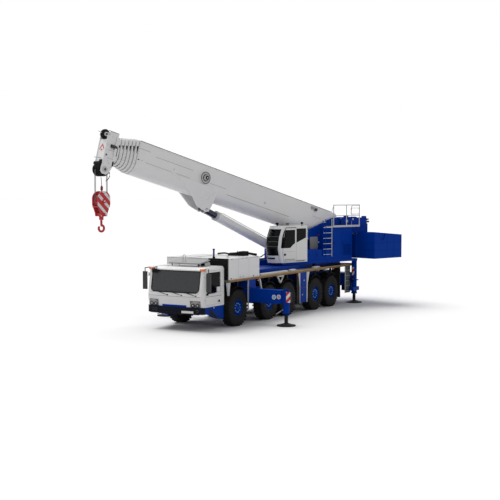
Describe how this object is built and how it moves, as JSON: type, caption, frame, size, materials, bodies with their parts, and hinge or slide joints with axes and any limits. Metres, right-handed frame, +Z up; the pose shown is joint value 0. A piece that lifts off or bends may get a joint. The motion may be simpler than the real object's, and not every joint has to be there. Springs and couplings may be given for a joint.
{
  "type": "mobile crane",
  "caption": "All-terrain mobile crane with telescopic boom, slewing upper machine, counterweight, outriggers, steered wheels and hook block.",
  "frame": {"origin": "on the ground, on the slewing axis of the upper machine", "axes": "+X forward along the carrier, +Y to its left, +Z up"},
  "size_m": [16.2791, 7.2147, 7.8702],
  "materials": {
    "white_paint": "satin white paint",
    "blue_paint": "satin blue paint",
    "grey_paint": "satin grey paint",
    "black_paint": "satin black paint",
    "red_paint": "satin red paint",
    "dark_iron": "dull",
    "rod_steel": "polished",
    "rope": "oiled wire",
    "tyre": "matt black rubber",
    "glass": "tinted",
    "lamp": "clear lens"
  },
  "bodies": {
    "carrier": {"carrier_frame": "blue_paint", "axles": "dark_iron", "cab": "white_paint", "cab_glass": "glass", "bumper": "blue_paint", "lamps": "lamp", "engine_cover": "white_paint", "engine": "dark_iron", "cooler": "black_paint", "deck": "grey_paint", "side_panels": "grey_paint"},
    "knuckle_1_left": {"knuckle_1_left": "dark_iron"},
    "wheel_1_left": {"wheel_1_left": "tyre"},
    "knuckle_1_right": {"knuckle_1_right": "dark_iron"},
    "wheel_1_right": {"wheel_1_right": "tyre"},
    "knuckle_2_left": {"knuckle_2_left": "dark_iron"},
    "wheel_2_left": {"wheel_2_left": "tyre"},
    "knuckle_2_right": {"knuckle_2_right": "dark_iron"},
    "wheel_2_right": {"wheel_2_right": "tyre"},
    "wheel_3_left": {"wheel_3_left": "tyre"},
    "wheel_3_right": {"wheel_3_right": "tyre"},
    "knuckle_4_left": {"knuckle_4_left": "dark_iron"},
    "wheel_4_left": {"wheel_4_left": "tyre"},
    "knuckle_4_right": {"knuckle_4_right": "dark_iron"},
    "wheel_4_right": {"wheel_4_right": "tyre"},
    "knuckle_5_left": {"knuckle_5_left": "dark_iron"},
    "wheel_5_left": {"wheel_5_left": "tyre"},
    "knuckle_5_right": {"knuckle_5_right": "dark_iron"},
    "wheel_5_right": {"wheel_5_right": "tyre"},
    "outrigger_beam_front_left": {"outrigger_beam_front_left": "blue_paint"},
    "jack_front_left": {"jack_front_left": "dark_iron"},
    "outrigger_beam_front_right": {"outrigger_beam_front_right": "blue_paint"},
    "jack_front_right": {"jack_front_right": "dark_iron"},
    "outrigger_beam_rear_left": {"outrigger_beam_rear_left": "blue_paint"},
    "jack_rear_left": {"jack_rear_left": "dark_iron"},
    "outrigger_beam_rear_right": {"outrigger_beam_rear_right": "blue_paint"},
    "jack_rear_right": {"jack_rear_right": "dark_iron"},
    "upper": {"upper_frame": "blue_paint", "side_housings": "blue_paint", "crane_cab": "white_paint", "crane_cab_glass": "glass", "counterweight": "blue_paint", "winches": "blue_paint", "ladder_and_rails": "grey_paint"},
    "crane_cab_door": {"crane_cab_door": "white_paint"},
    "boom": {"boom_base": "white_paint"},
    "boom_section_1": {"boom_section_1": "white_paint"},
    "boom_section_2": {"boom_section_2": "white_paint"},
    "boom_section_3": {"boom_section_3": "white_paint"},
    "boom_section_4": {"boom_section_4": "white_paint"},
    "boom_section_5": {"boom_section_5": "white_paint"},
    "boom_section_6": {"boom_section_6": "white_paint"},
    "luff_barrel": {"luff_barrel": "white_paint"},
    "luff_rod": {"luff_rod": "rod_steel"},
    "rope_falls": {"rope_falls": "rope"},
    "hook_block": {"hook_block": "red_paint"},
    "hook": {"hook": "red_paint"},
    "cab_door_left": {"cab_door_left": "white_paint"},
    "cab_door_right": {"cab_door_right": "white_paint"}
  },
  "joints": [
    {"name": "steer_1_left", "type": "hinge", "parent": "carrier", "child": "knuckle_1_left", "pos_m": [7.52, 1.12, 0.745], "axis": [0, 0, 1], "range_deg": [-24, 24]},
    {"name": "spin_1_left", "type": "hinge", "parent": "knuckle_1_left", "child": "wheel_1_left", "pos_m": [7.52, 1.2775, 0.745], "axis": [0, 1, 0], "continuous": true},
    {"name": "steer_1_right", "type": "hinge", "parent": "carrier", "child": "knuckle_1_right", "pos_m": [7.52, -1.12, 0.745], "axis": [0, 0, 1], "range_deg": [-24, 24]},
    {"name": "spin_1_right", "type": "hinge", "parent": "knuckle_1_right", "child": "wheel_1_right", "pos_m": [7.52, -1.2775, 0.745], "axis": [0, 1, 0], "continuous": true},
    {"name": "steer_2_left", "type": "hinge", "parent": "carrier", "child": "knuckle_2_left", "pos_m": [4.98, 1.12, 0.745], "axis": [0, 0, 1], "range_deg": [-16, 16]},
    {"name": "spin_2_left", "type": "hinge", "parent": "knuckle_2_left", "child": "wheel_2_left", "pos_m": [4.98, 1.2775, 0.745], "axis": [0, 1, 0], "continuous": true},
    {"name": "steer_2_right", "type": "hinge", "parent": "carrier", "child": "knuckle_2_right", "pos_m": [4.98, -1.12, 0.745], "axis": [0, 0, 1], "range_deg": [-16, 16]},
    {"name": "spin_2_right", "type": "hinge", "parent": "knuckle_2_right", "child": "wheel_2_right", "pos_m": [4.98, -1.2775, 0.745], "axis": [0, 1, 0], "continuous": true},
    {"name": "spin_3_left", "type": "hinge", "parent": "carrier", "child": "wheel_3_left", "pos_m": [3.33, 1.2775, 0.745], "axis": [0, 1, 0], "continuous": true},
    {"name": "spin_3_right", "type": "hinge", "parent": "carrier", "child": "wheel_3_right", "pos_m": [3.33, -1.2775, 0.745], "axis": [0, 1, 0], "continuous": true},
    {"name": "steer_4_left", "type": "hinge", "parent": "carrier", "child": "knuckle_4_left", "pos_m": [0.68, 1.12, 0.745], "axis": [0, 0, 1], "range_deg": [-8, 8]},
    {"name": "spin_4_left", "type": "hinge", "parent": "knuckle_4_left", "child": "wheel_4_left", "pos_m": [0.68, 1.2775, 0.745], "axis": [0, 1, 0], "continuous": true},
    {"name": "steer_4_right", "type": "hinge", "parent": "carrier", "child": "knuckle_4_right", "pos_m": [0.68, -1.12, 0.745], "axis": [0, 0, 1], "range_deg": [-8, 8]},
    {"name": "spin_4_right", "type": "hinge", "parent": "knuckle_4_right", "child": "wheel_4_right", "pos_m": [0.68, -1.2775, 0.745], "axis": [0, 1, 0], "continuous": true},
    {"name": "steer_5_left", "type": "hinge", "parent": "carrier", "child": "knuckle_5_left", "pos_m": [-0.98, 1.12, 0.745], "axis": [0, 0, 1], "range_deg": [-15, 15]},
    {"name": "spin_5_left", "type": "hinge", "parent": "knuckle_5_left", "child": "wheel_5_left", "pos_m": [-0.98, 1.2775, 0.745], "axis": [0, 1, 0], "continuous": true},
    {"name": "steer_5_right", "type": "hinge", "parent": "carrier", "child": "knuckle_5_right", "pos_m": [-0.98, -1.12, 0.745], "axis": [0, 0, 1], "range_deg": [-15, 15]},
    {"name": "spin_5_right", "type": "hinge", "parent": "knuckle_5_right", "child": "wheel_5_right", "pos_m": [-0.98, -1.2775, 0.745], "axis": [0, 1, 0], "continuous": true},
    {"name": "outrigger_front_left", "type": "slide", "parent": "carrier", "child": "outrigger_beam_front_left", "axis": [0, 1, 0], "range_m": [-1.46, 0.8]},
    {"name": "jack_front_left", "type": "slide", "parent": "outrigger_beam_front_left", "child": "jack_front_left", "axis": [0, 0, 1], "range_m": [0, 0.33]},
    {"name": "outrigger_front_right", "type": "slide", "parent": "carrier", "child": "outrigger_beam_front_right", "axis": [0, -1, 0], "range_m": [-1.46, 0.8]},
    {"name": "jack_front_right", "type": "slide", "parent": "outrigger_beam_front_right", "child": "jack_front_right", "axis": [0, 0, 1], "range_m": [0, 0.33]},
    {"name": "outrigger_rear_left", "type": "slide", "parent": "carrier", "child": "outrigger_beam_rear_left", "axis": [0, 1, 0], "range_m": [0, 2.26]},
    {"name": "jack_rear_left", "type": "slide", "parent": "outrigger_beam_rear_left", "child": "jack_rear_left", "axis": [0, 0, 1], "range_m": [0, 0.33]},
    {"name": "outrigger_rear_right", "type": "slide", "parent": "carrier", "child": "outrigger_beam_rear_right", "axis": [0, -1, 0], "range_m": [0, 2.26]},
    {"name": "jack_rear_right", "type": "slide", "parent": "outrigger_beam_rear_right", "child": "jack_rear_right", "axis": [0, 0, 1], "range_m": [0, 0.33]},
    {"name": "slew", "type": "hinge", "parent": "carrier", "child": "upper", "pos_m": [0, 0, 2.12], "axis": [0, 0, 1], "continuous": true},
    {"name": "crane_cab_door_slide", "type": "slide", "parent": "upper", "child": "crane_cab_door", "axis": [-0.9588, 0.284, 0], "range_m": [0, 0.55]},
    {"name": "luff", "type": "hinge", "parent": "upper", "child": "boom", "pos_m": [-2.01352, 0.59643, 3.5], "axis": [-0.284, -0.9588, 0], "range_deg": [-7.8, 67.2]},
    {"name": "telescope_1", "type": "slide", "parent": "boom", "child": "boom_section_1", "axis": [0.927, -0.2746, 0.2554], "range_m": [0, 10.8]},
    {"name": "telescope_2", "type": "slide", "parent": "boom_section_1", "child": "boom_section_2", "axis": [0.927, -0.2746, 0.2554], "range_m": [0, 10.8]},
    {"name": "telescope_3", "type": "slide", "parent": "boom_section_2", "child": "boom_section_3", "axis": [0.927, -0.2746, 0.2554], "range_m": [0, 10.8]},
    {"name": "telescope_4", "type": "slide", "parent": "boom_section_3", "child": "boom_section_4", "axis": [0.927, -0.2746, 0.2554], "range_m": [0, 10.8]},
    {"name": "telescope_5", "type": "slide", "parent": "boom_section_4", "child": "boom_section_5", "axis": [0.927, -0.2746, 0.2554], "range_m": [0, 10.8]},
    {"name": "telescope_6", "type": "slide", "parent": "boom_section_5", "child": "boom_section_6", "axis": [0.927, -0.2746, 0.2554], "range_m": [0, 10.8]},
    {"name": "luff_barrel_swing", "type": "hinge", "parent": "upper", "child": "luff_barrel", "pos_m": [0.28765, -0.08521, 2.38], "axis": [-0.284, -0.9588, 0], "range_deg": [-8.71, 71.26]},
    {"name": "luff_rod_slide", "type": "slide", "parent": "luff_barrel", "child": "luff_rod", "axis": [0.8815, -0.2611, 0.3933], "range_m": [-0.3479, 2.9213]},
    {"name": "hook_hang", "type": "hinge", "parent": "boom_section_6", "child": "rope_falls", "pos_m": [10.47246, -3.10208, 6.27866], "axis": [-0.284, -0.9588, 0], "range_deg": [-67.7, 9.3]},
    {"name": "hoist", "type": "slide", "parent": "rope_falls", "child": "hook_block", "axis": [0, 0, -1], "range_m": [-0.3, 3.5], "deforming": ["rope_falls"]},
    {"name": "hook_swivel", "type": "hinge", "parent": "hook_block", "child": "hook", "pos_m": [10.47246, -3.10208, 4.4], "axis": [0, 0, 1], "continuous": true},
    {"name": "cab_door_left_hinge", "type": "hinge", "parent": "carrier", "child": "cab_door_left", "pos_m": [9.704, 1.347, 1.7], "axis": [0, 0, -1], "range_deg": [0, 75]},
    {"name": "cab_door_right_hinge", "type": "hinge", "parent": "carrier", "child": "cab_door_right", "pos_m": [9.704, -1.347, 1.7], "axis": [0, 0, 1], "range_deg": [0, 75]}
  ],
  "couplings": [
    {"joint": "steer_1_right", "follows": "steer_1_left", "ratio": 1},
    {"joint": "steer_2_left", "follows": "steer_1_left", "ratio": 0.66667},
    {"joint": "steer_2_right", "follows": "steer_1_left", "ratio": 0.66667},
    {"joint": "steer_4_left", "follows": "steer_1_left", "ratio": -0.33333},
    {"joint": "steer_4_right", "follows": "steer_1_left", "ratio": -0.33333},
    {"joint": "steer_5_left", "follows": "steer_1_left", "ratio": -0.625},
    {"joint": "steer_5_right", "follows": "steer_1_left", "ratio": -0.625},
    {"joint": "telescope_2", "follows": "telescope_1", "ratio": 1},
    {"joint": "telescope_3", "follows": "telescope_1", "ratio": 1},
    {"joint": "telescope_4", "follows": "telescope_1", "ratio": 1},
    {"joint": "telescope_5", "follows": "telescope_1", "ratio": 1},
    {"joint": "telescope_6", "follows": "telescope_1", "ratio": 1},
    {"joint": "luff_barrel_swing", "follows": "luff", "ratio": 1.053},
    {"joint": "luff_rod_slide", "follows": "luff", "m_per_rad": 2.4822},
    {"joint": "hook_hang", "follows": "luff", "ratio": -1}
  ]
}
